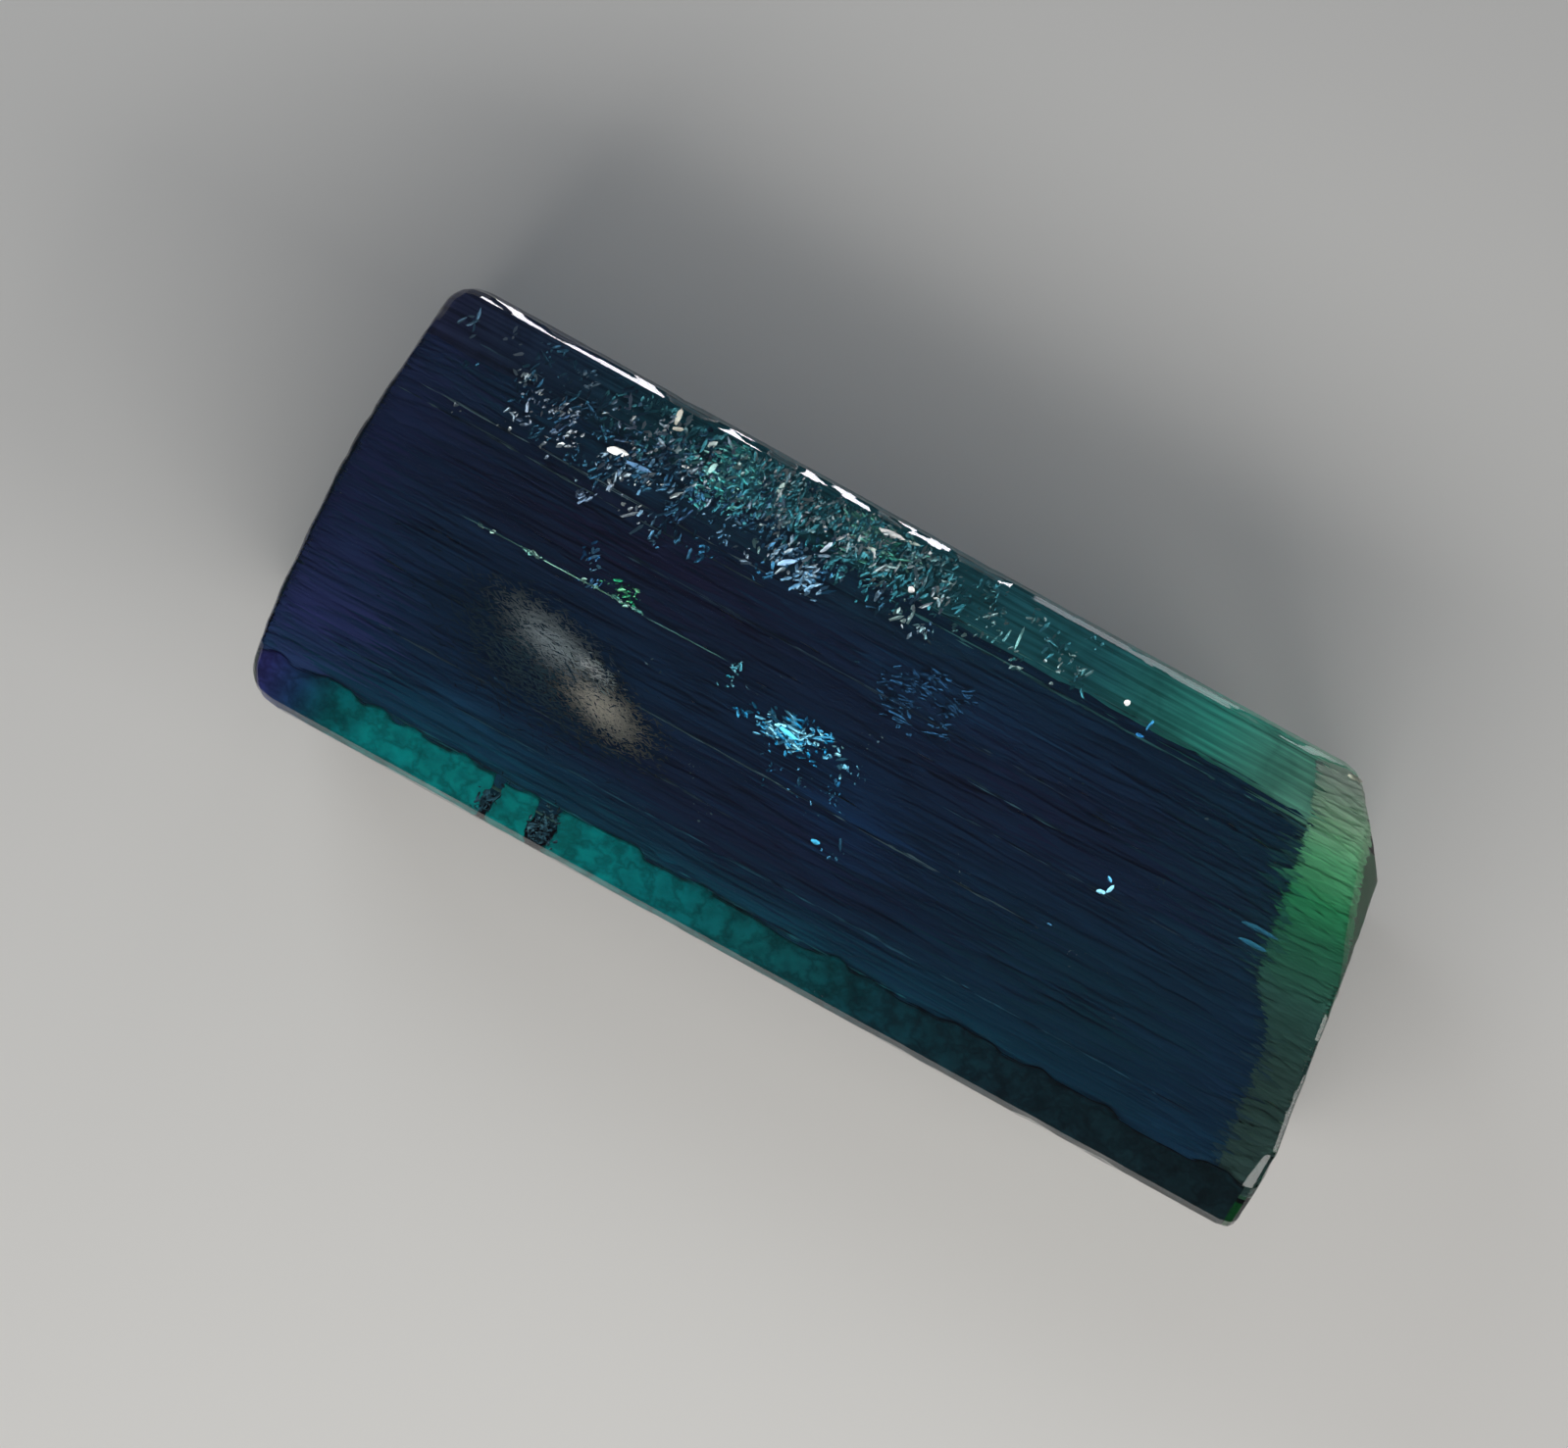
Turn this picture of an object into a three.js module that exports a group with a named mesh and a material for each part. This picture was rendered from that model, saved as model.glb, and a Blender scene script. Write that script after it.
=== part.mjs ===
// Tourmaline crystal: one natural prism, lying on a flat prism face.
// Millimetres. +X runs along the crystal from its violet end to its green end, +Y goes across it to
// its narrow face, +Z is up, and the origin is at the middle of the bounding box's underside.
import * as THREE from "three";

// Driving dimensions
const LENGTH = 18.0;
const WIDTH = 7.34;
const THICKNESS = 5.6;
const HALF_LENGTH = LENGTH / 2;
const HALF_WIDTH = WIDTH / 2;
const STATIONS = 16;

// Corners of the prism's section, once round, from the resting face's +Y edge up the narrow face's
// side, over the broad front and down the bevelled side. Each is a share of half the width and a
// share of the thickness, and each pair of neighbours is one long prism face.
const SECTION = [
  [0.48, 0.0],
  [0.55, 0.035],
  [0.96, 0.58],
  [1.0, 0.66],
  [1.0, 0.8],
  [0.985, 0.845],
  [0.958, 0.862],
  [0.8, 0.925],
  [0.66, 0.962],
  [0.45, 0.984],
  [0.11, 1.0],
  [-0.245, 1.0],
  [-0.62, 0.988],
  [-0.795, 0.968],
  [-0.968, 0.895],
  [-0.993, 0.857],
  [-1.0, 0.79],
  [-1.0, 0.56],
  [-0.955, 0.47],
  [-0.585, 0.035],
  [-0.53, 0.0],
];

// How each end closes, from its middle out to the full section: the section's scale there, and how
// far that ring lies in from the end surface. The violet end is worn rounder than the green one.
const VIOLET_END_RINGS = [
  { scale: 0.25, inset: 0 },
  { scale: 0.5, inset: 0 },
  { scale: 0.75, inset: 0 },
  { scale: 0.92, inset: 0 },
  { scale: 0.965, inset: 0.03 },
  { scale: 0.99, inset: 0.12 },
  { scale: 1, inset: 0.35 },
];
const GREEN_END_RINGS = [
  { scale: 0.25, inset: 0 },
  { scale: 0.5, inset: 0 },
  { scale: 0.75, inset: 0 },
  { scale: 0.9, inset: 0 },
  { scale: 0.965, inset: 0.02 },
  { scale: 0.99, inset: 0.1 },
  { scale: 1, inset: 0.3 },
];

// The violet end is a shallow rough dome across the axis, worn round at its bevelled corner.
const DOME_TOP_Y = 0.4;
const DOME_CURVE = 0.017;
const WORN_FROM_Y = -3.1;
const WORN_CURVE = 0.9;
const ROUGHNESS = 0.03;

function violetEnd(y, z) {
  const dome = DOME_CURVE * (y - DOME_TOP_Y) ** 2;
  const worn = WORN_CURVE * Math.max(0, WORN_FROM_Y - y) ** 2;
  const rough = ROUGHNESS * (1 + Math.sin(2.9 * y + 1.1 * z) * Math.cos(2.3 * z - 0.7 * y));
  return -HALF_LENGTH + dome + worn + rough;
}

// The green end is cut by four planes, and the end surface is whichever comes first. Each plane
// gives the place along the axis where it crosses the middle of the section, and how much that
// place falls back for each millimetre towards +Y and up towards the front. They are the square
// cut, the slanted end, the top corner and the bevel to the front.
const GREEN_END_PLANES = [
  { at: HALF_LENGTH, perY: 0, perZ: 0 },
  { at: HALF_LENGTH - 0.27, perY: 0.141, perZ: 0.02 },
  { at: HALF_LENGTH + 1.08, perY: 0.748, perZ: 0.01 },
  { at: HALF_LENGTH + 1.85, perY: 0.433, perZ: 0.75 },
];

function greenEnd(y, z) {
  const up = z - THICKNESS / 2;
  return Math.min(...GREEN_END_PLANES.map(({ at, perY, perZ }) => at - perY * y - perZ * up));
}

// One ring of the section, scaled about its centre, at the place along the axis that a rule gives.
function ring(scale, placeAlong) {
  const middle = THICKNESS / 2;
  return SECTION.map(([across, up]) => {
    const y = across * HALF_WIDTH * scale;
    const z = middle + (up * THICKNESS - middle) * scale;
    return [placeAlong(y, z), y, z];
  });
}

// All rings in order from the violet end's middle to the green end's middle.
function crystalRings() {
  const rings = [];
  for (const { scale, inset } of VIOLET_END_RINGS) {
    rings.push(ring(scale, (y, z) => violetEnd(y, z) + inset));
  }
  const firstInset = VIOLET_END_RINGS.at(-1).inset;
  const lastInset = GREEN_END_RINGS.at(-1).inset;
  for (let station = 1; station < STATIONS; station++) {
    const share = station / STATIONS;
    rings.push(ring(1, (y, z) => {
      const start = violetEnd(y, z) + firstInset;
      const stop = greenEnd(y, z) - lastInset;
      return start + (stop - start) * share;
    }));
  }
  for (const { scale, inset } of [...GREEN_END_RINGS].reverse()) {
    rings.push(ring(scale, (y, z) => greenEnd(y, z) - inset));
  }
  return rings;
}

// A closed skin over the rings, with one point in the middle of each end.
function crystalGeometry() {
  const rings = crystalRings();
  const around = SECTION.length;
  const middle = THICKNESS / 2;
  const points = [[violetEnd(0, middle), 0, middle], ...rings.flat(), [greenEnd(0, middle), 0, middle]];
  const lastPoint = points.length - 1;
  const triangles = [];
  for (let side = 0; side < around; side++) {
    const next = (side + 1) % around;
    triangles.push(0, 1 + next, 1 + side);
    for (let ringNumber = 0; ringNumber < rings.length - 1; ringNumber++) {
      const here = 1 + ringNumber * around;
      const there = here + around;
      triangles.push(here + side, here + next, there + side);
      triangles.push(here + next, there + next, there + side);
    }
    const last = 1 + (rings.length - 1) * around;
    triangles.push(last + side, last + next, lastPoint);
  }
  const geometry = new THREE.BufferGeometry();
  geometry.setAttribute("position", new THREE.Float32BufferAttribute(points.flat(), 3));
  geometry.setIndex(triangles);
  geometry.computeBoundingBox();
  const { min, max } = geometry.boundingBox;
  geometry.translate(-(min.x + max.x) / 2, -(min.y + max.y) / 2, -min.z);
  geometry.computeVertexNormals();
  return geometry;
}

// Natural tourmaline: near-black navy, glassy growth faces.
function tourmaline() {
  return new THREE.MeshStandardMaterial({
    color: 0x14202f,
    roughness: 0.12,
    metalness: 0,
    flatShading: true,
  });
}

const crystal = new THREE.Mesh(crystalGeometry(), tourmaline());
crystal.name = "crystal";

const group = new THREE.Group();
group.add(crystal);

export default group;
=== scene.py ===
import math

import bpy
import numpy as np
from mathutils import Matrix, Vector


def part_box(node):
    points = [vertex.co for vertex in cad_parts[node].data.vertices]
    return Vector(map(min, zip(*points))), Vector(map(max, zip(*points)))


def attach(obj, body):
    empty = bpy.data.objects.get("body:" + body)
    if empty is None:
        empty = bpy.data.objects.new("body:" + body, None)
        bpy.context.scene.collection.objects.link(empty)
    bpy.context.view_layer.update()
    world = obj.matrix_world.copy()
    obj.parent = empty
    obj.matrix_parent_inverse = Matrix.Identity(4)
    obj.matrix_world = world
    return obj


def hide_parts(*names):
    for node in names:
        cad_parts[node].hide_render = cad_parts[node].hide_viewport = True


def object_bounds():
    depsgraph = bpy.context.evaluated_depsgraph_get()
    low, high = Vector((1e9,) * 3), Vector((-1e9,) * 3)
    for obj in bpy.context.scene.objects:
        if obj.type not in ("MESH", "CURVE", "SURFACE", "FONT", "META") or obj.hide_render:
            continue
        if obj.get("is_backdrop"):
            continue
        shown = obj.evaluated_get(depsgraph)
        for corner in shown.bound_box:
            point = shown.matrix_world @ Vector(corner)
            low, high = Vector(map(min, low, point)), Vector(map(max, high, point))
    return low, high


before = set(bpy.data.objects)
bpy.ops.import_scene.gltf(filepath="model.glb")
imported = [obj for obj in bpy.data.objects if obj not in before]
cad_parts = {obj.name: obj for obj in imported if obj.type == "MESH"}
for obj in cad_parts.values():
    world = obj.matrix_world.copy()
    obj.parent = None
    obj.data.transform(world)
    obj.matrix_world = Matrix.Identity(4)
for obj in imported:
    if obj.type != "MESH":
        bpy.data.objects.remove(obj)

cad_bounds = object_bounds()

# The crystal's body: one natural tourmaline prism. It grew as a rounded three-sided prism with
# glassy faces and fine lengthwise striations, broke across at the violet end, and closed with a
# slanted, bevelled face at the green end.
MM = 0.001
(low_x, low_y, low_z), (high_x, high_y, high_z) = [np.array(corner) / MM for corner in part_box("crystal")]
HALF_LENGTH = (high_x - low_x) / 2
HALF_WIDTH = (high_y - low_y) / 2
THICKNESS = high_z - low_z
SECTION = np.array([
    (0.48, 0.0), (0.55, 0.035), (0.96, 0.58), (1.0, 0.66), (1.0, 0.8), (0.985, 0.845), (0.958, 0.862),
    (0.8, 0.925), (0.66, 0.962), (0.45, 0.984), (0.11, 1.0), (-0.245, 1.0), (-0.62, 0.988),
    (-0.795, 0.968), (-0.968, 0.895), (-0.993, 0.857), (-1.0, 0.79), (-1.0, 0.56), (-0.955, 0.47),
    (-0.585, 0.035), (-0.53, 0.0),
])
# Each row: share of an end's rings, scale of the section there, and how far it lies in.
VIOLET_END_RINGS = np.array([
    (0, 0, 0), (0.8, 0.92, 0), (0.88, 0.965, 0.03), (0.94, 0.99, 0.12), (1, 1, 0.35),
])
GREEN_END_RINGS = np.array([
    (0, 0, 0), (0.8, 0.9, 0), (0.88, 0.965, 0.02), (0.94, 0.99, 0.1), (1, 1, 0.3),
])
DOME_CURVE = 0.017
DOME_TOP_Y = 0.4
WORN_CURVE = 0.9
WORN_BELOW_Y = -3.1
WORN_ABOVE_Y = 3.2
# Each row: how far past half the length a plane crosses the middle of the section, and how far it
# falls back for each millimetre towards +Y and for each millimetre up.
GREEN_END_PLANES = [(0, 0, 0), (-0.27, 0.141, 0.02), (1.08, 0.748, 0.01), (1.85, 0.433, 0.75)]
BODY_AROUND = 480
BODY_STATIONS = 100
END_RINGS = 45
LATTICE = 64
STRIATION_COUNT = 260
STRIATION_DEPTH = 0.005
STRIATION_DEPTH_SHARES = (0.15, 1)
STRIATION_WIDTH_SHARES = (0.003, 0.009)
STRIATION_STARTS = (-1.6, 0.3)
STRIATION_LENGTHS = (0.5, 2.4)
STRIATION_FADE = 0.5
GROOVE_GAIN = 10
REST_FADE = 0.3
CHIP_DEPTH = 0.03
CHIPS_FROM_Y = 3.5
CHIPS_FADE = 0.15
FINE_CHIP_MM = 0.12
FINE_CHIP_SHARE = 0.4
LONG_CHIP_MM = 0.6
LONG_CHIP_SHARE = 2
LONG_CHIP_FROM = 0.4
BREAK_RELIEF = 0.06
BREAK_REACH = 0.5
BREAK_FADE = 0.4
BREAK_MEAN = 0.7
# Each pair: the size of the lumps in millimetres, and how strong they are.
BREAK_COARSE = (0.7, 0.55)
BREAK_FINE = (0.18, 0.2)
ETCH_RELIEF = 0.012
ETCH_REACH = 0.35
ETCH_FADE = 0.3
ETCH_MM = 0.2
SHARP_EDGE = math.radians(9)


def outline(corners, count):
    """The closed outline through the corners, in millimetres. Its points are shared out by length,
    and every corner keeps a point, so that the prism's edges stay crisp."""
    closed = np.vstack([corners, corners[:1]]) * (HALF_WIDTH, THICKNESS)
    lengths = np.hypot(*np.diff(closed, axis=0).T)
    shares = np.maximum(1, np.round(lengths / lengths.sum() * count)).astype(int)
    places = np.concatenate([number + np.arange(share) / share for number, share in enumerate(shares)])
    numbers = np.arange(len(closed))
    return np.interp(places, numbers, closed[:, 0]), np.interp(places, numbers, closed[:, 1])


def violet_end(y, z):
    """A shallow dome that grows with the square of the distance from its top, worn back further
    with the square of the distance past either corner."""
    dome = DOME_CURVE * (y - DOME_TOP_Y) ** 2
    worn = WORN_CURVE * (np.maximum(0, WORN_BELOW_Y - y) ** 2 + np.maximum(0, y - WORN_ABOVE_Y) ** 2)
    return -HALF_LENGTH + dome + worn


def green_end(y, z):
    """The lowest of four planes: the square cut, the slanted end, the top corner and the bevel."""
    up = z - THICKNESS / 2
    planes = [HALF_LENGTH + past - per_y * y - per_up * up for past, per_y, per_up in GREEN_END_PLANES]
    return np.minimum.reduce(planes)


def closed_skin(rings, around):
    """Quads between neighbouring rings, and a fan of triangles to one point at each end."""
    side = np.arange(around)
    following = (side + 1) % around
    start = 1 + np.arange(rings - 1)[:, None] * around
    quads = np.stack([
        start + side, start + following, start + around + following, start + around + side], axis=-1)
    first_fan = np.stack([np.zeros_like(side), 1 + following, 1 + side], axis=-1)
    last = 1 + (rings - 1) * around
    last_fan = np.stack([last + side, last + following, np.full_like(side, 1 + rings * around)], axis=-1)
    return first_fan.tolist() + quads.reshape(-1, 4).tolist() + last_fan.tolist()


def prism(corners, first_end, first_rings, last_end, last_rings, around, stations):
    """A section carried along the axis between two end surfaces. At each end the section shrinks to
    its middle, lying in from the end surface as the end's rows say. Gives the rings as an array of
    rings by points by x, y, z, and the two end points."""
    section_y, section_z = outline(corners, around)
    middle = (corners * (HALF_WIDTH, THICKNESS)).mean(axis=0)
    shares = np.linspace(0, 1, END_RINGS + 1)[1:]
    scale_in, inset_in = [np.interp(shares, first_rings[:, 0], column) for column in first_rings.T[1:]]
    scale_out, inset_out = [
        np.interp(shares, last_rings[:, 0], column)[::-1] for column in last_rings.T[1:]]
    scales = np.concatenate([scale_in, np.ones(stations), scale_out])[:, None]
    y = middle[0] + (section_y - middle[0]) * scales
    z = middle[1] + (section_z - middle[1]) * scales
    inner = stations + END_RINGS
    start = first_end(y, z) + np.concatenate([inset_in, np.full(inner, inset_in[-1])])[:, None]
    stop = last_end(y, z) - np.concatenate([np.full(inner, inset_out[0]), inset_out])[:, None]
    along = np.concatenate([np.zeros(END_RINGS), np.linspace(0, 1, stations + 2)[1:-1], np.ones(END_RINGS)])
    rings = np.stack([start + (stop - start) * along[:, None], y, z], axis=-1)
    poles = [(first_end(*middle), *middle), (last_end(*middle), *middle)]
    return rings, poles


def value_noise(places, cell, seed):
    """Smooth noise between -1 and 1: random numbers on a lattice of that cell, blended between the
    eight lattice points round each place with a smooth step along each axis."""
    lattice = np.random.default_rng(seed).uniform(-1, 1, (LATTICE,) * 3)
    scaled = np.asarray(places) / cell
    whole = np.floor(scaled).astype(int)
    part = scaled - whole
    part = part * part * (3 - 2 * part)
    total = np.zeros(scaled.shape[:-1])
    for corner in np.ndindex(2, 2, 2):
        spot = (whole + corner) % LATTICE
        weight = np.where(np.array(corner) == 1, part, 1 - part).prod(axis=-1)
        total += weight * lattice[spot[..., 0], spot[..., 1], spot[..., 2]]
    return total


def striations(stations, around):
    """How deep the lengthwise grooves are: each is a narrow valley across the outline, with a soft
    start and end along the axis, and the valleys are summed as one matrix product."""
    chance = np.random.default_rng(seed=11)
    spot = np.linspace(0, 1, around, endpoint=False)[:, None]
    place = chance.uniform(0, 1, STRIATION_COUNT)
    width = chance.uniform(*STRIATION_WIDTH_SHARES, STRIATION_COUNT)
    depth = STRIATION_DEPTH * chance.uniform(*STRIATION_DEPTH_SHARES, STRIATION_COUNT) ** 2
    offset = (spot - place + 0.5) % 1 - 0.5
    valleys = np.exp(-2 * np.abs(offset) / width) * depth
    begin = chance.uniform(*STRIATION_STARTS, STRIATION_COUNT) * HALF_LENGTH
    finish = begin + chance.uniform(*STRIATION_LENGTHS, STRIATION_COUNT) * HALF_LENGTH
    begun = np.tanh((stations[:, None] - begin) / STRIATION_FADE)
    finished = np.tanh((stations[:, None] - finish) / STRIATION_FADE)
    return 0.5 * (begun - finished) @ valleys.T


def body_shape():
    """The prism, pressed in along its normals by the striations and by small chips on the two long
    edges, and pressed in along its axis by the rough break and the fainter roughness of the green end."""
    rings, poles = prism(SECTION, violet_end, VIOLET_END_RINGS, green_end, GREEN_END_RINGS,
                         BODY_AROUND, BODY_STATIONS)
    around = rings.shape[1]
    along_outline = np.roll(rings, -1, axis=1) - np.roll(rings, 1, axis=1)
    normal = np.stack([np.zeros(rings.shape[:2]), along_outline[..., 2], -along_outline[..., 1]], axis=-1)
    normal /= np.linalg.norm(normal, axis=-1, keepdims=True)
    above_rest = np.clip(rings[..., 2] / REST_FADE, 0, 1)
    fullness = np.abs(rings[..., 1]).max(axis=1, keepdims=True) / HALF_WIDTH
    on_full_rings = np.clip(1 + GROOVE_GAIN * (fullness - 1), 0, 1)
    grooves = striations(rings[..., 0].mean(axis=1), around) * on_full_rings
    long_edge = np.clip((np.abs(rings[..., 1]) - CHIPS_FROM_Y) / CHIPS_FADE, 0, 1)
    fine_chips = FINE_CHIP_SHARE * np.clip(value_noise(rings, FINE_CHIP_MM, seed=5), 0, 1)
    long_chips = np.clip(value_noise(rings, LONG_CHIP_MM, seed=6) - LONG_CHIP_FROM, 0, 1)
    chips = fine_chips + LONG_CHIP_SHARE * long_chips
    press = (grooves + CHIP_DEPTH * chips * long_edge) * above_rest
    rings = rings - normal * press[..., None]
    x, y, z = rings[..., 0], rings[..., 1], rings[..., 2]
    near_break = np.clip((violet_end(y, z) + BREAK_REACH - x) / BREAK_FADE, 0, 1)
    coarse = BREAK_COARSE[1] * value_noise(rings, BREAK_COARSE[0], seed=7)
    fine = BREAK_FINE[1] * value_noise(rings, BREAK_FINE[0], seed=8)
    broken = np.clip(BREAK_MEAN + coarse + fine, 0, 2)
    near_green = np.clip((x - green_end(y, z) + ETCH_REACH) / ETCH_FADE, 0, 1)
    etched = 1 + value_noise(rings, ETCH_MM, seed=9)
    rings[..., 0] += BREAK_RELIEF * near_break * broken - ETCH_RELIEF * near_green * etched
    points = np.vstack([[poles[0]], rings.reshape(-1, 3), [poles[1]]])
    return points, closed_skin(len(rings), around)


def new_piece(name, points_mm, faces, material, smooth=True):
    """A mesh object from points in millimetres, which rides with the crystal."""
    mesh = bpy.data.meshes.new(name)
    mesh.from_pydata((np.asarray(points_mm) * MM).tolist(), [], faces)
    mesh.polygons.foreach_set("use_smooth", np.full(len(mesh.polygons), smooth))
    mesh.materials.append(material)
    mesh.update()
    piece = bpy.data.objects.new(name, mesh)
    bpy.context.scene.collection.objects.link(piece)
    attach(piece, "root")
    return piece


def linear(hex_colour):
    """An sRGB hex colour as linear red, green, blue and 1."""
    parts = [int(hex_colour[place:place + 2], 16) / 255 for place in (1, 3, 5)]
    return (*[part / 12.92 if part <= 0.04045 else ((part + 0.055) / 1.055) ** 2.4 for part in parts], 1)


def add_node(tree, kind, settings=None, links=None):
    """A node of a kind, with its inputs or settings set by name, and links into it from sockets."""
    node = tree.nodes.new(kind)
    for key, value in (settings or {}).items():
        if key in node.inputs:
            node.inputs[key].default_value = value
        else:
            setattr(node, key, value)
    for key, socket in (links or {}).items():
        tree.links.new(socket, node.inputs[key])
    return node


def new_material(name):
    """An empty material and its node tree."""
    material = bpy.data.materials.new(name)
    material.use_nodes = True
    material.node_tree.nodes.clear()
    return material, material.node_tree


def clear_stone(name, ior, roughness, passes):
    """Clear stone: light passes and bends, and the colour is the share that is left after it has
    gone once through the crystal's whole thickness."""
    material, tree = new_material(name)
    surface = add_node(tree, "ShaderNodeBsdfPrincipled", {
        "Base Color": (1, 1, 1, 1), "Transmission Weight": 1.0, "IOR": ior, "Roughness": roughness})
    loss = -np.log(np.array(passes)) / THICKNESS
    strongest = float(loss.max())
    volume = add_node(tree, "ShaderNodeVolumeAbsorption", {
        "Color": (*(1 - loss / strongest).tolist(), 1), "Density": strongest / MM})
    add_node(tree, "ShaderNodeOutputMaterial", links={
        "Surface": surface.outputs[0], "Volume": volume.outputs[0]})
    return material


# Glassy tourmaline bends light strongly and is pale teal where nothing denser lies under it. Its
# growth faces are smooth, so they give sharp reflections.
body_points, body_faces = body_shape()
body = new_piece("crystal_body", body_points, body_faces, clear_stone(
    "glassy_tourmaline", ior=1.62, roughness=0.02, passes=(0.30, 0.84, 0.72)))
body.data.set_sharp_from_angle(angle=SHARP_EDGE)
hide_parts("crystal")

# Colour zones: the stone grew in layers that took up different traces of metal. A dense navy heart
# fills most of it, the broken end is violet, and the slanted end is green. They are one stone, so
# light passes from zone to zone without bending.
HEART = np.array([
    (0.42, 0.01), (0.60, 0.1), (0.92, 0.58), (0.965, 0.68), (0.965, 0.8), (0.93, 0.855),
    (0.79, 0.91), (0.65, 0.95), (0.45, 0.972), (0.11, 0.988), (-0.245, 0.988), (-0.62, 0.976),
    (-0.79, 0.958), (-0.80, 0.93), (-0.52, 0.02),
])
INNER_SCALE = 0.97
INNER_RISE = 0.015
INNER_STONE = SECTION * INNER_SCALE + (0, INNER_RISE)
ZONE_RINGS = np.array([(0, 0, 0), (0.8, 0.93, 0), (1, 1, 0.04)])
ZONE_AROUND = 300
ZONE_STATIONS = 80
ZONE_GAP = 0.03
NAVY_BEHIND_BREAK = 0.09
NAVY_STOP_X = 7.42
NAVY_SLANT = 0.12
NAVY_TURN_Y = -0.3
NAVY_TURN_MM = 0.3
NAVY_RUN_ON = 0.45
NAVY_FALL_BACK = 0.4
NAVY_UNDER_GREEN = 0.46
LAYER_SIZE_MM = np.array([4.0, 0.13, 50.0])
PATCH_SIZE_MM = np.array([1.7, 0.8, 50.0])
LAYER_DEPTH = 0.15
STREAK_DEPTH = 0.5
STREAK_RISE = -0.2
PATCH_DEPTH = 0.9
LAYERS_FROM_Z = 3.6
LAYERS_TO_Y = 2.3
LAYERS_FADE = 0.4


def heart_start(y, z):
    """The navy starts a hair behind the broken end."""
    return violet_end(y, z) + NAVY_BEHIND_BREAK


def heart_stop(y, z):
    """Where the navy stops short of the green end. Above the middle it stops further back, and it
    falls back more towards the resting face; below the middle it runs on under the green."""
    below = 0.5 - 0.5 * np.tanh((y - NAVY_TURN_Y) / NAVY_TURN_MM)
    deeper = (NAVY_UNDER_GREEN * below - NAVY_FALL_BACK) * (THICKNESS - z)
    return NAVY_STOP_X - NAVY_SLANT * y + NAVY_RUN_ON * below + deeper


def growth_layers(rings):
    """How far the navy lies back under the front: long narrow streaks and broad patches of smooth
    noise, only in the middle of the front. Where it lies back, more light comes through."""
    streaks = np.clip(value_noise(rings, LAYER_SIZE_MM, seed=31), STREAK_RISE, 1)
    patches = np.clip(value_noise(rings, PATCH_SIZE_MM, seed=32), 0, 1)
    in_middle = np.clip((LAYERS_TO_Y - np.abs(rings[..., 1])) / LAYERS_FADE, 0, 1)
    near_front = np.clip(rings[..., 2] - LAYERS_FROM_Z, 0, 1) * in_middle
    return (LAYER_DEPTH + STREAK_DEPTH * streaks + PATCH_DEPTH * patches) * near_front


def zone(name, corners, start, stop, relief, material):
    """A closed zone along the stone, with its front laid back by that share of the growth layers."""
    rings, poles = prism(corners, start, ZONE_RINGS, stop, ZONE_RINGS, ZONE_AROUND, ZONE_STATIONS)
    rings[..., 2] -= relief * growth_layers(rings)
    points = np.vstack([[poles[0]], rings.reshape(-1, 3), [poles[1]]])
    new_piece(name, points, closed_skin(*rings.shape[:2]), material)


def green_start(y, z):
    """The green takes over a hair past the navy."""
    return heart_stop(y, z) + ZONE_GAP


def green_stop(y, z):
    """The green ends a hair under the slanted end."""
    return green_end(y, z) - 2 * ZONE_GAP


# Navy stone swallows most of the light, so the body looks near black. Green stone lets most of it
# through, so the end glows.
zone("navy_heart", HEART, heart_start, heart_stop, relief=1.0, material=clear_stone(
    "navy_zone", ior=1.0, roughness=0.0, passes=(0.11, 0.22, 0.48)))
zone("green_end_zone", INNER_STONE, green_start, green_stop, relief=0.0, material=clear_stone(
    "green_zone", ior=1.0, roughness=0.0, passes=(0.9, 1.0, 0.66)))

# Healed cracks: fluid films that lie just under the two long edges. They scatter lamp light, so the lower
# edge glows teal where open cracks don't cut it, and the upper one is striped pale green at one end.
# That bright teal and pale green are partly painted glow, for light shining through the thin edges.
FRONT_MIDDLE = np.array([0.0, 0.5])
FILM_ACROSS = 60
FILM_ALONG = 160
FILM_BEHIND_BREAK = 0.14
FILM_BEFORE_END = 0.22
FRAY_MM = 0.3
CRACK_COARSE_MM = 0.3
CRACK_FINE_MM = 0.09
CRACK_FINE_SHARE = 0.4
CRACK_MIDDLE_Z = 4.9


def slab(corners, outer, inner, begin, finish, fray):
    """A thin closed slab that follows some corners of the section, between two scales of it about
    its middle, from one place along the axis to another. Both places are functions of y and z. Its
    first long side wanders in by smooth noise times the fray, a share of the first face's width.
    Each face is a grid of points, and quads round the rim join the two."""
    along = np.linspace(0, 1, FILM_ALONG)[:, None]
    first_y, first_z = corners[0] * (HALF_WIDTH, THICKNESS)
    side_start = begin(first_y, first_z)
    side_x = side_start + (finish(first_y, first_z) - side_start) * along
    side = np.hstack([side_x, np.zeros((FILM_ALONG, 2))])
    first_number = fray * (1 + value_noise(side, FRAY_MM, seed=43)[:, None])
    numbers = first_number + (len(corners) - 1 - first_number) * np.linspace(0, 1, FILM_ACROSS)
    grids = []
    for scale in (outer, inner):
        scaled = ((corners - FRONT_MIDDLE) * scale + FRONT_MIDDLE) * (HALF_WIDTH, THICKNESS)
        y, z = [np.interp(numbers, np.arange(len(corners)), column) for column in scaled.T]
        start, stop = begin(y, z), finish(y, z)
        grids.append(np.stack([start + (stop - start) * along, y, z], axis=-1))
    index = np.arange(FILM_ALONG * FILM_ACROSS).reshape(FILM_ALONG, FILM_ACROSS)
    face = np.stack([index[:-1, :-1], index[:-1, 1:], index[1:, 1:], index[1:, :-1]], axis=-1)
    face = face.reshape(-1, 4)
    edge = np.concatenate([index[0, :-1], index[:-1, -1], index[-1, :0:-1], index[:0:-1, 0]])
    following = np.roll(edge, -1)
    rim = np.stack([following, edge, edge + index.size, following + index.size], axis=-1)
    return np.concatenate(grids).reshape(-1, 3), np.vstack([face, face[:, ::-1] + index.size, rim])


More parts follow.
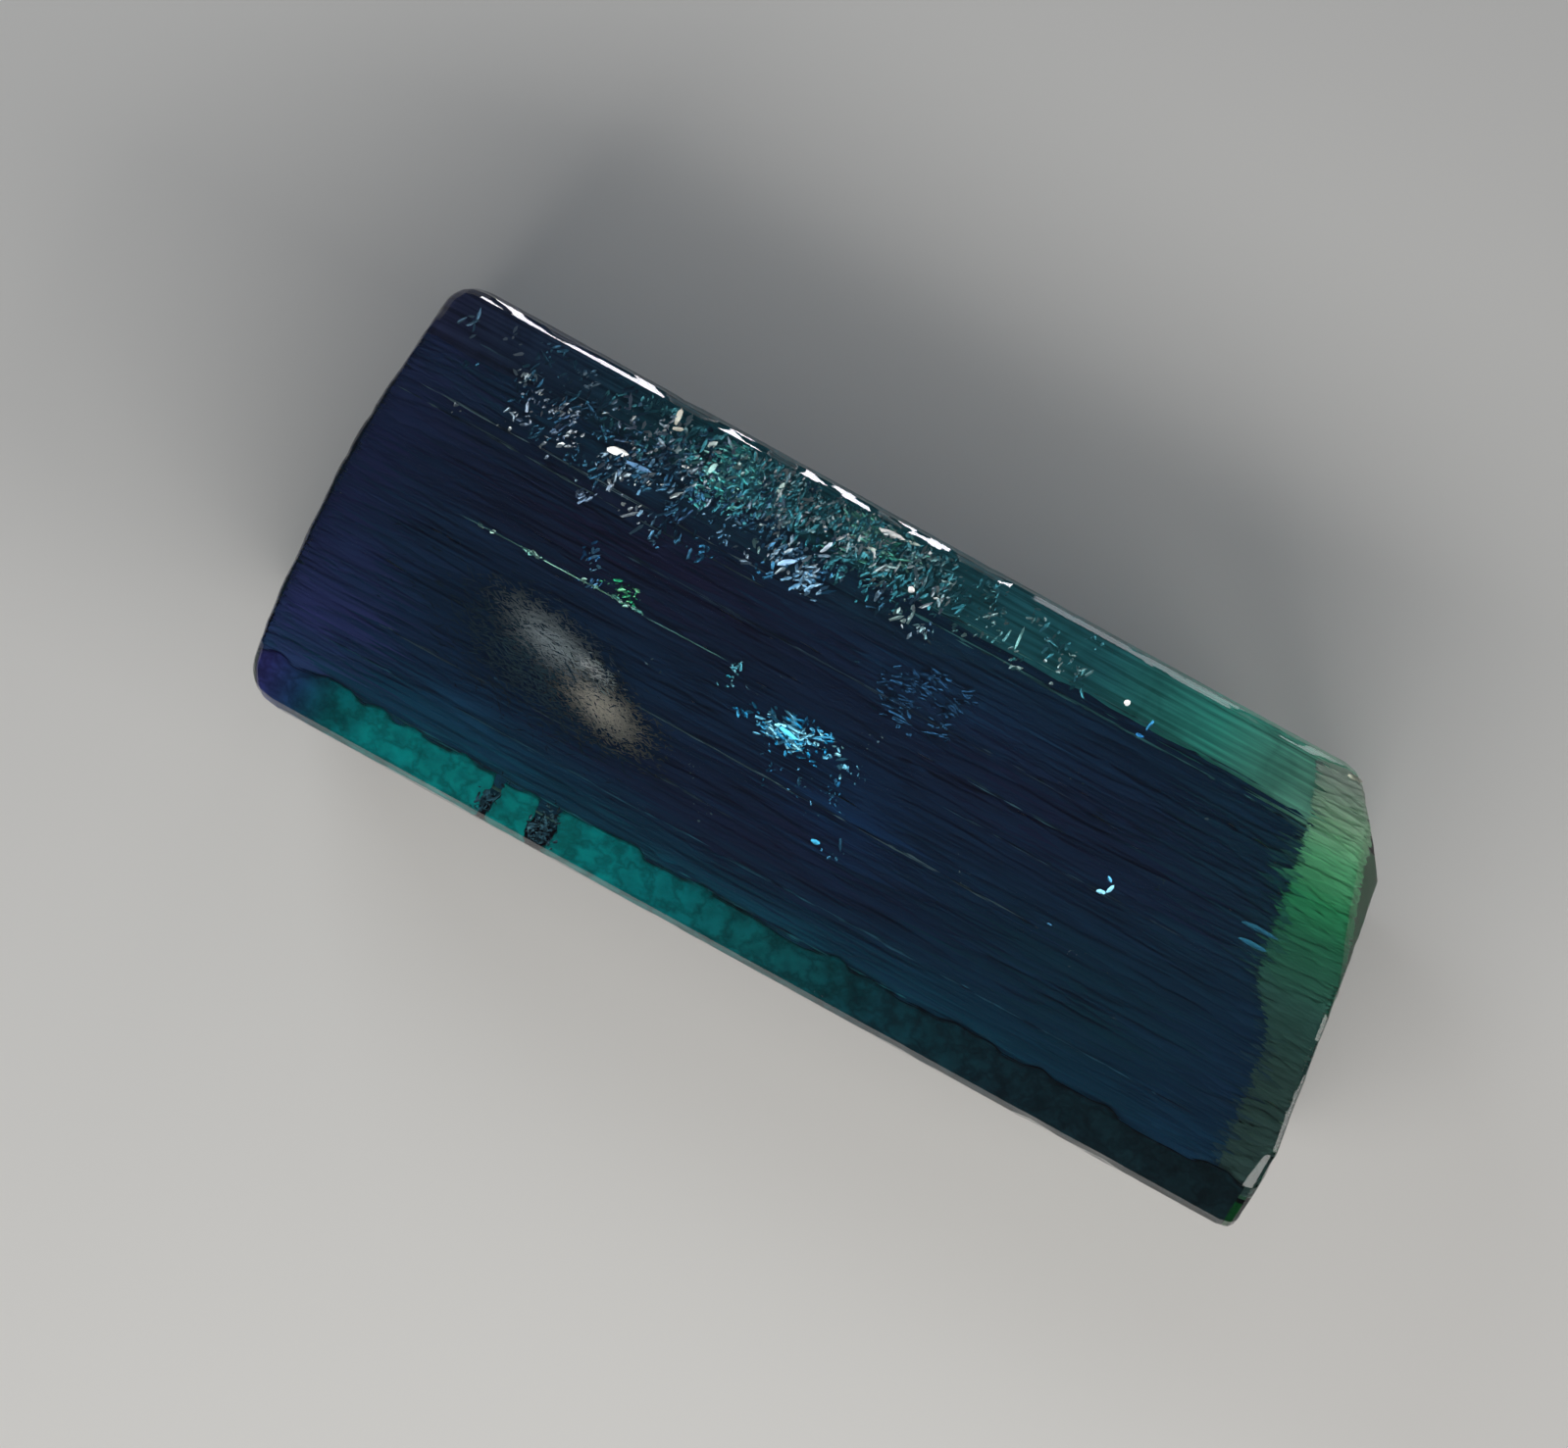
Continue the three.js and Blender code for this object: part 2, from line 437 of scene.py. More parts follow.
def film(name, slabs, material):
    """Several slabs joined in one mesh."""
    point_sets, face_sets = zip(*slabs)
    firsts = np.cumsum([0, *[len(points) for points in point_sets[:-1]]])
    faces = np.vstack([part + first for part, first in zip(face_sets, firsts)])
    new_piece(name, np.vstack(point_sets), faces.tolist(), material)


def streaked(name, stops, streak_mm, streak_share, cell_mm, crack_share):
    """A film's scattering face. Its colour goes along the axis through the stops, given in
    millimetres. Uneven streaks darken it by one share, and fine cracks round cells by another."""
    material, tree = new_material(name)
    place = add_node(tree, "ShaderNodeTexCoord")
    in_mm = add_node(tree, "ShaderNodeMapping", {"Scale": (1 / MM,) * 3},
                     {"Vector": place.outputs["Object"]})
    parts = add_node(tree, "ShaderNodeSeparateXYZ", links={"Vector": in_mm.outputs[0]})
    first, last = stops[0][0], stops[-1][0]
    share = add_node(tree, "ShaderNodeMapRange", {"From Min": first, "From Max": last},
                     {"Value": parts.outputs["X"]})
    ramp = add_node(tree, "ShaderNodeValToRGB", links={"Fac": share.outputs[0]})
    steps = ramp.color_ramp.elements
    for number, (where, colour) in enumerate(stops):
        at = (where - first) / (last - first)
        step = steps[number] if number < 2 else steps.new(at)
        step.position = at
        step.color = linear(colour)
    stretch = add_node(tree, "ShaderNodeMapping", {"Scale": [1 / size for size in streak_mm]},
                       {"Vector": in_mm.outputs[0]})
    noise = add_node(tree, "ShaderNodeTexNoise", {"Scale": 1.0, "Detail": 4.0},
                     {"Vector": stretch.outputs[0]})
    shade = add_node(tree, "ShaderNodeMapRange", {
        "From Min": 0.35, "From Max": 0.65, "To Min": 1 - streak_share, "To Max": 1.0},
        {"Value": noise.outputs["Fac"]})
    wander = add_node(tree, "ShaderNodeTexNoise", {"Scale": 3 / cell_mm, "Detail": 3.0},
                      {"Vector": in_mm.outputs[0]})
    bent = add_node(tree, "ShaderNodeVectorMath", {"operation": "MULTIPLY_ADD"})
    tree.links.new(wander.outputs["Color"], bent.inputs[0])
    bent.inputs[1].default_value = (cell_mm,) * 3
    tree.links.new(in_mm.outputs[0], bent.inputs[2])
    cracks = add_node(tree, "ShaderNodeTexVoronoi",
                      {"feature": "DISTANCE_TO_EDGE", "Scale": 1 / cell_mm},
                      {"Vector": bent.outputs[0]})
    gap = add_node(tree, "ShaderNodeMapRange", {
        "From Min": 0.0, "From Max": 0.2, "To Min": 1 - crack_share, "To Max": 1.0},
        {"Value": cracks.outputs["Distance"]})
    darker = add_node(tree, "ShaderNodeMath", {"operation": "MULTIPLY"})
    tree.links.new(shade.outputs[0], darker.inputs[0])
    tree.links.new(gap.outputs[0], darker.inputs[1])
    scaled = add_node(tree, "ShaderNodeVectorMath", {"operation": "SCALE"},
                      {"Vector": ramp.outputs["Color"], "Scale": darker.outputs[0]})
    surface = add_node(tree, "ShaderNodeBsdfPrincipled", {"Roughness": 0.6, "Specular IOR Level": 0.0},
                       {"Base Color": scaled.outputs[0]})
    add_node(tree, "ShaderNodeOutputMaterial", links={"Surface": surface.outputs[0]})
    return material


def across_break(place, slant, rough):
    """An end of a film: a slanted, rough line across the stone at that place."""
    def line(y, z):
        spot = np.stack([y, z, np.full_like(y, place)], axis=-1)
        coarse = value_noise(spot, CRACK_COARSE_MM, seed=41)
        fine = value_noise(spot, CRACK_FINE_MM, seed=42)
        return place + slant * (z - CRACK_MIDDLE_Z) + rough * (coarse + CRACK_FINE_SHARE * fine)
    return line


def near_violet_end(y, z):
    """The end of a film that starts just behind the broken end."""
    return violet_end(y, z) + FILM_BEHIND_BREAK


def near_green_end(y, z):
    """The end of a film that stops just short of the green end."""
    return green_end(y, z) - FILM_BEFORE_END


# Teal healed crack: bright blue-green under the worn lower edge, broken by two dark open cracks. The
# bright blue-green is painted glow for light shining through the thin edge; the violet by the break
# and the dark cracks are the film's own colour.
TEAL_SHAPE = {"corners": SECTION[13:17], "outer": 0.978, "inner": 0.962, "fray": 0.1}
# Each row: where a stretch of the film begins and where it ends.
TEAL_STRETCHES = [
    (near_violet_end, across_break(-4.58, slant=0.12, rough=0.07)),
    (across_break(-4.40, slant=0.16, rough=0.08), across_break(-3.72, slant=-0.1, rough=0.06)),
    (across_break(-3.34, slant=-0.04, rough=0.09), near_green_end),
]
film("teal_edge_film_painted_glow", [slab(begin=begin, finish=finish, **TEAL_SHAPE) for begin, finish in TEAL_STRETCHES],
     streaked("teal_crack_painted_glow", [
         (-8.5, "#4a4ca0"), (-7.9, "#2a5c90"), (-7.3, "#00888f"), (-6.6, "#00b8b8"), (-3.8, "#00bcb8"),
         (-1.6, "#00a4a8"), (0.2, "#108488"), (2.4, "#185664"), (4.5, "#1c424e"), (8.5, "#1c383e")],
         streak_mm=(0.35, 0.5, 0.25), streak_share=0.4, cell_mm=0.55, crack_share=0.4))

# Striped growth film: thin growth layers seen edge on, which give the upper edge its fine stripes.
# Its colour turns pale green and near white towards the green end: painted glow for light shining
# through the thin edge there.
UPPER_CORNERS = np.vstack([SECTION[3:8], (0.72, 0.946)])
UPPER_SHAPE = {"corners": UPPER_CORNERS, "outer": 0.935, "inner": 0.92, "fray": 0.0}
film("upper_edge_film_painted_glow", [slab(begin=near_violet_end, finish=near_green_end, **UPPER_SHAPE)],
     streaked("striped_film_painted_glow", [
         (-8.7, "#484c74"), (-6.5, "#3c5c7c"), (-4.5, "#348090"), (-1.0, "#3c909c"), (1.0, "#469ca8"),
         (3.0, "#50b8bc"), (5.0, "#6cf4d8"), (6.6, "#a8ffdc"), (8.6, "#d8ffe4")],
         streak_mm=(2.2, 0.08, 0.08), streak_share=0.55, cell_mm=1.6, crack_share=0.2))

# Sealed flecks: flat cavities filled with fluid or gas, trapped while the stone grew. They catch
# the light as thousands of small glints under the upper edge, along one growth line and in a few
# stray spots. Each is a closed spindle: a thin rim with a point above and one below.
PX_PER_MM = 65.0
AXIS_START_PX = 564.5
AXIS_MIDDLE_PX = 233.5
FRONT_CORNERS = slice(4, 17)
SLOPE_STEP = 0.05
GLINT_LEAN_X = 0.06
GLINT_LEAN_Y = -0.23
GLINT_PER_SLOPE = 0.48


def front_height(y):
    """How high the front of the section stands at that distance across."""
    front = SECTION[FRONT_CORNERS][::-1] * (HALF_WIDTH, THICKNESS)
    return np.interp(y, front[:, 0], front[:, 1])


def inside(along_px, across_px, depth_mm):
    """A place in the crystal from the photograph's pixels along and across the crystal, counted from
    its top left corner, at that depth under the front."""
    x = (np.asarray(along_px) - AXIS_START_PX) / PX_PER_MM
    y = (AXIS_MIDDLE_PX - np.asarray(across_px)) / PX_PER_MM
    return np.stack([x, y, front_height(y) - depth_mm], axis=-1)


def glint_lean(y):
    """The lean that turns a flat bit half way between the camera and the key light. It grows with
    the slope of the front above the bit, because the front bends both of those ways."""
    slope = (front_height(y - SLOPE_STEP) - front_height(y + SLOPE_STEP)) / (2 * SLOPE_STEP)
    return np.column_stack([np.full_like(y, GLINT_LEAN_X), GLINT_PER_SLOPE * slope + GLINT_LEAN_Y])


def mixed(first, second, share):
    """A colour between two hex colours for each share."""
    start, stop = np.array(linear(first)[:3]), np.array(linear(second)[:3])
    return start + (stop - start) * np.asarray(share)[:, None]


def sealed_bits(name, places, turns, leans, sizes, colours, rim, ragged, material):
    """Many spindles in one mesh. Each has a rim of points on an ellipse, drawn in at random by up to
    the ragged share, and one point on each side of the rim's middle. Its thin way is straight up
    plus its lean along x and y, and its length is the heading of its turn about the vertical, laid
    square to the thin way."""
    count = len(places)
    angle = np.arange(rim) / rim * 2 * math.pi
    reach = 1 - ragged * np.random.default_rng(count).uniform(0, 1, (count, rim, 1))
    thin_way = np.column_stack([leans, np.ones(count)])
    thin_way /= np.linalg.norm(thin_way, axis=1, keepdims=True)
    heading = np.stack([np.cos(turns), np.sin(turns), np.zeros(count)], axis=-1)
    side_way = np.cross(thin_way, heading)
    side_way /= np.linalg.norm(side_way, axis=1, keepdims=True)
    length_way = np.cross(side_way, thin_way)
    half = np.asarray(sizes)[:, None, :] / 2
    rims = (np.cos(angle)[None, :, None] * half[..., :1] * length_way[:, None]
            + np.sin(angle)[None, :, None] * half[..., 1:2] * side_way[:, None])
    tips = np.array([1, -1])[None, :, None] * half[..., 2:] * thin_way[:, None]
    points = np.concatenate([rims * reach, tips], axis=1) + np.asarray(places)[:, None]
    step = np.arange(rim)
    upper = np.stack([step, (step + 1) % rim, np.full(rim, rim)], axis=-1)
    lower = np.stack([(step + 1) % rim, step, np.full(rim, rim + 1)], axis=-1)
    faces = np.arange(count)[:, None, None] * (rim + 2) + np.concatenate([upper, lower])[None]
    piece = new_piece(name, points.reshape(-1, 3), faces.reshape(-1, 3).tolist(),
                      material, smooth=False)
    tint = piece.data.color_attributes.new("tint", "FLOAT_COLOR", "POINT")
    values = np.column_stack([np.repeat(colours, rim + 2, axis=0), np.ones(count * (rim + 2))])
    tint.data.foreach_set("color", values.astype(np.float32).ravel())


def tinted(name, roughness, mirror):
    """A sealed film or needle: its colour is its own tint, and it turns back that share of the light
    as a mirror does."""
    material, tree = new_material(name)
    tint = add_node(tree, "ShaderNodeAttribute", {"attribute_name": "tint"})
    surface = add_node(tree, "ShaderNodeBsdfPrincipled",
                       {"Roughness": roughness, "Metallic": mirror, "Specular IOR Level": 0.0},
                       {"Base Color": tint.outputs["Color"]})
    add_node(tree, "ShaderNodeOutputMaterial", links={"Surface": surface.outputs[0]})
    return material


# Each row: middle and spread along and across in photograph pixels, how many, typical length in
# millimetres, mean turn in degrees, and the dimmest and brightest colour.
FLECK_GROUPS = [
    (420, 100, 34, 20, 1300, 0.17, 78, "#2c7484", "#68c8d8"),
    (270, 100, 62, 24, 700, 0.15, 75, "#284e6c", "#407c98"),
    (430, 80, 28, 17, 700, 0.15, 80, "#3c98a8", "#ffffff"),
    (330, 120, 60, 26, 620, 0.13, 72, "#34749c", "#f4ffff"),
    (190, 60, 76, 24, 190, 0.13, 75, "#40648c", "#f0fbff"),
    (590, 80, 40, 24, 280, 0.12, 62, "#348890", "#dcfcfc"),
    (326, 14, 38, 16, 280, 0.22, 2, "#48c8c8", "#c8fff8"),
    (492, 20, 24, 12, 200, 0.19, 5, "#4cbca8", "#b8fff0"),
    (440, 22, 90, 9, 90, 0.16, 55, "#3484b8", "#c8ecff"),
    (250, 7, 192, 8, 24, 0.11, 70, "#2a6ca8", "#8fd0f8"),
    (296, 9, 199, 4, 44, 0.08, 40, "#24a878", "#b8ffd0"),
    (262, 76, 207.5, 0.7, 110, 0.06, 1, "#4f9890", "#d8fff0"),
    (428, 3, 216, 6, 22, 0.09, 120, "#2a8aa0", "#b8f0ff"),
    (512, 22, 243, 6, 240, 0.14, -10, "#1484b8", "#9fecff"),
    (556, 30, 276, 20, 90, 0.07, -60, "#1a5a84", "#70c0e8"),
    (620, 34, 145, 16, 160, 0.20, 4, "#1c3c5c", "#2f6088"),
    (273, 3, 450, 9, 110, 0.09, 74, "#16303c", "#2c545c"),
    (336, 5, 446, 12, 200, 0.10, 84, "#162e3a", "#34545c"),
    (640, 260, 240, 100, 240, 0.035, 0, "#24485f", "#a0c8d8"),
]
# Each row: place along and across, length and width in photograph pixels, turn in degrees, colour.
BRIGHT_FLECKS = [
    (219, 77, 28, 10, 14, "#ffffff"),
    (246, 80, 34, 7, 4, "#6088b0"),
    (256, 16, 26, 8, 97, "#fffff0"),
    (262, 27, 14, 7, 20, "#fffff0"),
    (503, 16, 34, 8, 6, "#ffffff"),
    (526, 14, 20, 5, 12, "#e8fff4"),
    (548, 56, 9, 9, 0, "#ffffff"),
    (492, 40, 16, 6, 30, "#dff4ec"),
    (300, 24, 14, 8, 60, "#e8fffc"),
    (312, 44, 18, 7, 80, "#bff4f0"),
    (452, 60, 22, 6, 70, "#d8ecff"),
    (424, 92, 26, 7, 40, "#9fc8f0"),
    (382, 30, 18, 6, 85, "#e0fff8"),
    (668, 46, 32, 4, 95, "#8fd0d0"),
    (795, 51, 9, 9, 0, "#ffffff"),
    (826, 60, 18, 4, 80, "#3f9ad0"),
    (822, 74, 10, 5, 0, "#2f80c0"),
    (512, 244, 34, 7, -12, "#5fd8ff"),
    (498, 240, 18, 5, 20, "#8feaff"),
    (586, 326, 12, 6, 0, "#3fa0c8"),
    (863, 231, 14, 6, 15, "#8fd8f8"),
    (870, 224, 13, 5, 75, "#8fd8f8"),
    (865, 216, 9, 4, 140, "#5fb8e8"),
    (1024, 204, 40, 6, 0, "#1c4c60"),
    (1022, 188, 46, 7, 0, "#1a4658"),
    (833, 285, 6, 3, 0, "#3f78a0"),
    (1036, 6, 20, 6, 8, "#ffffe8"),
    (160, 208, 110, 1.6, 0, "#5f9090"),
    (262, 208, 130, 1.8, 0, "#8fc8b8"),
    (372, 209, 104, 1.6, 0, "#6fa8a8"),
]
FLECK_THICKNESS = 0.004
FLECK_LEAN = 0.12
# A pair named LOG is the mean and spread of the logarithm of a length over its typical value.
FLECK_LENGTH_LOG = (-0.1, 0.55)
FLECK_WIDTH_SHARES = (0.25, 0.7)
WIDEST_FLECK = 0.075
LONGEST_FLECK = 0.45
SHALLOWEST_FLECK = 0.02
FLECK_DEPTHS = (0.05, 0.10)
DEPTH_PER_LENGTH = 0.25
LEAN_PER_DEPTH = 1.6
WIDEST_TURN = 40
TURN_TIMES_LENGTH = 4.4
DIMMEST_SHINE = 0.3
SHINE_POWER = 1.2
FLECKS_PER_CLUMP = 7
CLUMP_PX = 6
EDGE_MARGIN = 0.965
LEFT_PX, RIGHT_PX = 10, 1000
TOP_PX, BOTTOM_PX = 9, 462
BRIGHT_DEPTH = 0.08
BRIGHT_THICKNESS_PX = 0.3

chance = np.random.default_rng(seed=21)
places, turns, leans, sizes, colours = [], [], [], [], []
for along_px, along_spread, across_px, across_spread, count, length, turn, dim, bright in FLECK_GROUPS:
    clumps = count // FLECKS_PER_CLUMP
    clump = chance.integers(0, clumps, count)
    along = chance.normal(along_px, along_spread, clumps)[clump]
    along += chance.normal(0, min(CLUMP_PX, along_spread), count)
    across = chance.normal(across_px, across_spread, clumps)[clump]
    across += chance.normal(0, min(CLUMP_PX, across_spread), count)
    shine = chance.uniform(0, 1, clumps)[clump] * chance.uniform(DIMMEST_SHINE, 1, count)
    shine = shine ** SHINE_POWER
    kept = (along > LEFT_PX) & (along < RIGHT_PX) & (across > TOP_PX) & (across < BOTTOM_PX)
    along, across, shine, count = along[kept], across[kept], shine[kept], kept.sum()
    depth = chance.uniform(*FLECK_DEPTHS, count) + DEPTH_PER_LENGTH * length
    spots = inside(along, across, depth)
    long = np.minimum(length * chance.lognormal(*FLECK_LENGTH_LOG, count), LONGEST_FLECK)
    long = np.minimum(long, 2 * (EDGE_MARGIN * HALF_WIDTH - np.abs(spots[:, 1])))
    wide = np.minimum(long * chance.uniform(*FLECK_WIDTH_SHARES, count), WIDEST_FLECK)
    steepest = (LEAN_PER_DEPTH * (depth - SHALLOWEST_FLECK) / long)[:, None]
    places.append(spots)
    turns.append(np.radians(turn + chance.normal(0, min(WIDEST_TURN, TURN_TIMES_LENGTH / length), count)))
    leans.append(np.clip(chance.normal(glint_lean(spots[:, 1]), FLECK_LEAN), -steepest, steepest))
    sizes.append(np.stack([long, wide, np.full(count, FLECK_THICKNESS)], axis=-1))
    colours.append(mixed(dim, bright, shine))
# A fluid film turns back about half the light as a mirror does, so it glints silvery when it faces
# the key light and is dull otherwise.
sealed_bits("fluid_veil", np.concatenate(places), np.concatenate(turns), np.concatenate(leans),
            np.concatenate(sizes), np.concatenate(colours), rim=5, ragged=0.5,
            material=tinted("silvery_fluid_film", roughness=0.18, mirror=0.55))

# A gas film turns back more light than a fluid one, so the few large ones are near white.
along, across, long, wide, turn = np.array([row[:5] for row in BRIGHT_FLECKS], dtype=float).T
spots = inside(along, across, BRIGHT_DEPTH)
sealed_bits("bright_gas_flecks", spots, np.radians(turn), glint_lean(spots[:, 1]),
            np.stack([long, wide, np.full(len(along), BRIGHT_THICKNESS_PX)], axis=-1) / PX_PER_MM,
            np.array([linear(row[5])[:3] for row in BRIGHT_FLECKS]), rim=7, ragged=0.3,
            material=tinted("bright_gas_film", roughness=0.24, mirror=0.7))

# Growth lines: thousands of hair-thin films that lie along the axis, a little under the front. They
# give the body its soft navy streaks, violet behind the break, purple or blue in broad patches and
# teal towards the lower edge, and they give the slanted end its green. That green is pale near the
# top edge and dull lower down, a painted glow for light shining through the slanted end.

# Each row: where a stretch starts and stops along, in photograph pixels, and how many lines it has.
LINE_STRETCHES_PX = [(-16, 1140, 9500), (-16, 50, 1500), (1010, 1140, 3000)]
# Each row: middle and reach of a patch, along and across, in photograph pixels, and its colour.
LINE_PATCHES = [
    (25, 400, 50, 80, "#50549c"),
    (0, 240, 30, 90, "#343a6c"),
    (20, 60, 44, 70, "#3c4478"),
    (636, 142, 70, 26, "#2c6090"),
    (596, 300, 32, 38, "#26568c"),
    (225, 392, 60, 26, "#2c608c"),
    (480, 412, 330, 20, "#20708a"),
    (380, 80, 200, 24, "#2a5a6e"),
    (900, 350, 100, 70, "#1c485c"),
    (985, 130, 60, 90, "#245268"),
    (300, 160, 190, 44, "#302f52"),
    (520, 345, 120, 50, "#2a3052"),
    (760, 190, 130, 44, "#2c3458"),
]
# Each row: place across in photograph pixels and the green end's colour there, from pale to dull.
# The pale rows are painted glow for light shining through the end.
CAP_GREEN_AND_PAINTED_GLOW = [
    (15, "#f4fff0"), (55, "#d4ffd8"), (90, "#9affc0"), (135, "#4cc88a"), (175, "#48a47e"),
    (235, "#4f8479"), (300, "#4a6a64"), (430, "#4a6662"),
]
UPPER_BAND_PX = 66
# Each row: middle along, place across and length in photograph pixels, and colour.
GROWTH_SEAMS = [
    (230, 112, 460, "#7898a8"), (200, 126, 400, "#648490"), (766, 60, 500, "#68c0bc"),
    (766, 76, 500, "#5aa4ac"), (620, 292.6, 440, "#6c90a0"), (560, 382, 1000, "#4080a0"),
    (742, 197, 100, "#5c90a8"), (160, 48, 220, "#587890"), (560, 163, 620, "#4c6884"),
    (420, 420, 640, "#3490a0"), (840, 232, 300, "#446884"), (300, 345, 420, "#4c687c"),
]
LINES_ACROSS_PX = (8, 428)
LINE_COLOURS = ("#1e3b59", "#24466a")
LINE_COLOUR_POWER = 1.5
PATCH_SHARES = (0.4, 1)
MIDDLE_DEPTH = 0.25
GREEN_STRAY = 0.08
GREEN_BLEND = 0.16
CAP_SHADES = (0.8, 1.0)
LINE_LENGTH_LOG = (0.5, 0.6)
LINE_WIDTHS = (0.04, 0.14)
LINE_DEPTHS = (0.16, 0.34)
LINE_THICKNESS = 0.01
LINE_TURN = 0.15
LINE_BEHIND_BREAK = 0.12
LINE_BEFORE_END = 0.08
LINE_OVERLAP = 0.05
LEAST_ROOM = 0.04
SEAM_SPACING_PX = 12
SEAM_STRAY_PX = 0.7
SEAM_DULL = "#1c2c3c"
SEAM_LENGTH_LOG = (-0.9, 0.6)
SEAM_WIDTHS = (0.014, 0.028)
SEAM_DEPTHS = (0.11, 0.15)

along = np.concatenate([chance.uniform(first, last, count) for first, last, count in LINE_STRETCHES_PX])
lines = len(along)
across = chance.uniform(*LINES_ACROSS_PX, lines)
line_colours = mixed(*LINE_COLOURS, chance.uniform(0, 1, lines) ** LINE_COLOUR_POWER)
for along_px, across_px, along_reach, across_reach, colour in LINE_PATCHES:
    far = ((along - along_px) / along_reach) ** 2 + ((across - across_px) / across_reach) ** 2
    near = np.exp(-far / 2)[:, None] * chance.uniform(*PATCH_SHARES, lines)[:, None]
    line_colours = line_colours * (1 - near) + np.array(linear(colour)[:3]) * near
spots = inside(along, across, MIDDLE_DEPTH)
past_navy = spots[:, 0] - heart_stop(spots[:, 1], spots[:, 2])
strayed = past_navy + chance.normal(0, GREEN_STRAY, lines)
green_share = 0.5 + 0.5 * np.tanh(strayed / GREEN_BLEND)[:, None]
# The green end's colours carry painted glow: pale near the top edge, dull lower down.
cap_glow_places = [place for place, colour in CAP_GREEN_AND_PAINTED_GLOW]
cap_glow_channels = np.array([linear(colour)[:3] for place, colour in CAP_GREEN_AND_PAINTED_GLOW]).T
cap_green_and_glow = np.column_stack([np.interp(across, cap_glow_places, channel) for channel in cap_glow_channels])
cap_green_and_glow *= chance.uniform(*CAP_SHADES, (lines, 1))
line_colours = line_colours * (1 - green_share) + cap_green_and_glow * green_share
in_cap = past_navy > 0
shown = in_cap | (across > UPPER_BAND_PX)
along, across, line_colours, in_cap = along[shown], across[shown], line_colours[shown], in_cap[shown]
long = chance.lognormal(*LINE_LENGTH_LOG, len(along))
wide = chance.uniform(*LINE_WIDTHS, len(along))
depth = chance.uniform(*LINE_DEPTHS, len(along))
for along_px, across_px, length_px, colour in GROWTH_SEAMS:
    count = length_px // SEAM_SPACING_PX
    depth = np.append(depth, chance.uniform(*SEAM_DEPTHS, count))
    along = np.append(along, along_px + length_px * chance.uniform(-0.5, 0.5, count))
    across = np.append(across, across_px + chance.normal(0, SEAM_STRAY_PX, count))
    line_colours = np.vstack([line_colours, mixed(SEAM_DULL, colour, chance.uniform(0, 1, count))])
    long = np.append(long, chance.lognormal(*SEAM_LENGTH_LOG, count))
    wide = np.append(wide, chance.uniform(*SEAM_WIDTHS, count))
spots = inside(along, across, depth)
x, y, z = spots.T
in_cap = np.append(in_cap, np.zeros(len(along) - len(in_cap), dtype=bool))
end_x = green_end(y, z) - LINE_BEFORE_END
first_x = np.where(in_cap, heart_stop(y, z) - LINE_OVERLAP, violet_end(y, z) + LINE_BEHIND_BREAK)
last_x = np.where(in_cap, end_x, heart_stop(y, z) + LINE_OVERLAP)
room = np.minimum(x - first_x, np.minimum(last_x, end_x) - x)
fits = room > LEAST_ROOM
count = fits.sum()
long = np.minimum(long, 2 * room)[fits]
# A growth film is thin and matt, so it shows as a soft dull streak with no glint.
sealed_bits("growth_lines", spots[fits], np.radians(chance.normal(0, LINE_TURN, count)),
            np.zeros((count, 2)), np.stack([long, wide[fits], np.full(count, LINE_THICKNESS)], axis=-1),
            line_colours[fits], rim=4, ragged=0.0,
            material=tinted("dull_growth_film", roughness=0.6, mirror=0.0))

# Milky cloud: a tangle of hair-fine needles in the lower left of the body, white at its upper edge
# and warmer below, with wisps that trail off along the axis towards the violet end.

# Each row: middle and spread along and across in photograph pixels, how many needles, typical length
# in millimetres, and the dimmest and brightest colour.
CLOUD_PARTS = [
    (300, 16, 281, 5, 360, 0.10, "#b0c4c4", "#ffffff"),
    (328, 30, 310, 13, 2800, 0.09, "#3c4a50", "#fff8ea"),
    (256, 36, 278, 14, 2600, 0.12, "#2c4458", "#dce8ec"),
    (250, 54, 306, 24, 1600, 0.14, "#20384c", "#4c6c7c"),
]
CLOUD_SLOPE = 0.2
NEEDLE_DEPTHS = (0.05, 0.16)
NEEDLE_LENGTH_LOG = (0, 0.4)
NEEDLE_WIDTHS = (0.010, 0.026)
NEEDLE_THICKNESS = 0.01
NEEDLE_SHADES = (0.7, 1)
NEEDLE_TURN = -6
NEEDLE_TURN_SPREAD = 22

places, sizes, colours = [], [], []
for along_px, along_spread, across_px, across_spread, count, length, dim, bright in CLOUD_PARTS:
    drift, stray = chance.normal(0, 1, (2, count))
    along = along_px + along_spread * drift
    across = across_px + CLOUD_SLOPE * along_spread * drift + across_spread * stray
    places.append(inside(along, across, chance.uniform(*NEEDLE_DEPTHS, count)))
    long = length * chance.lognormal(*NEEDLE_LENGTH_LOG, count)
    wide = chance.uniform(*NEEDLE_WIDTHS, count)
    sizes.append(np.stack([long, wide, np.full(count, NEEDLE_THICKNESS)], axis=-1))
    nearness = np.exp(-(drift ** 2 + stray ** 2) / 2)
    colours.append(mixed(dim, bright, nearness * chance.uniform(*NEEDLE_SHADES, count)))
count = sum(len(part) for part in places)
turns = np.radians(chance.normal(NEEDLE_TURN, NEEDLE_TURN_SPREAD, count))
# Each needle scatters light softly, and together they read as milk in the stone. Real ones are
# finer than a pixel, so they are drawn coarser here.
sealed_bits("milky_cloud", np.concatenate(places), turns, np.zeros((count, 2)),
            np.concatenate(sizes), np.concatenate(colours), rim=4, ragged=0.0,
            material=tinted("milky_needles", roughness=0.6, mirror=0.1))

# The setting: a plain pale floor, soft lights round the crystal, and a camera that looks straight
# down on the broad front, turned so that the crystal points down to the right.
FLOOR_HALF_M = 1.5
FLOOR_DROP_M = 0.00002
floor_mesh = bpy.data.meshes.new("floor")
floor_signs = [(-1, -1), (1, -1), (1, 1), (-1, 1)]
floor_corners = [(FLOOR_HALF_M * x, FLOOR_HALF_M * y, -FLOOR_DROP_M) for x, y in floor_signs]
floor_mesh.from_pydata(floor_corners, [], [(0, 1, 2, 3)])
floor = bpy.data.objects.new("floor", floor_mesh)
bpy.context.scene.collection.objects.link(floor)
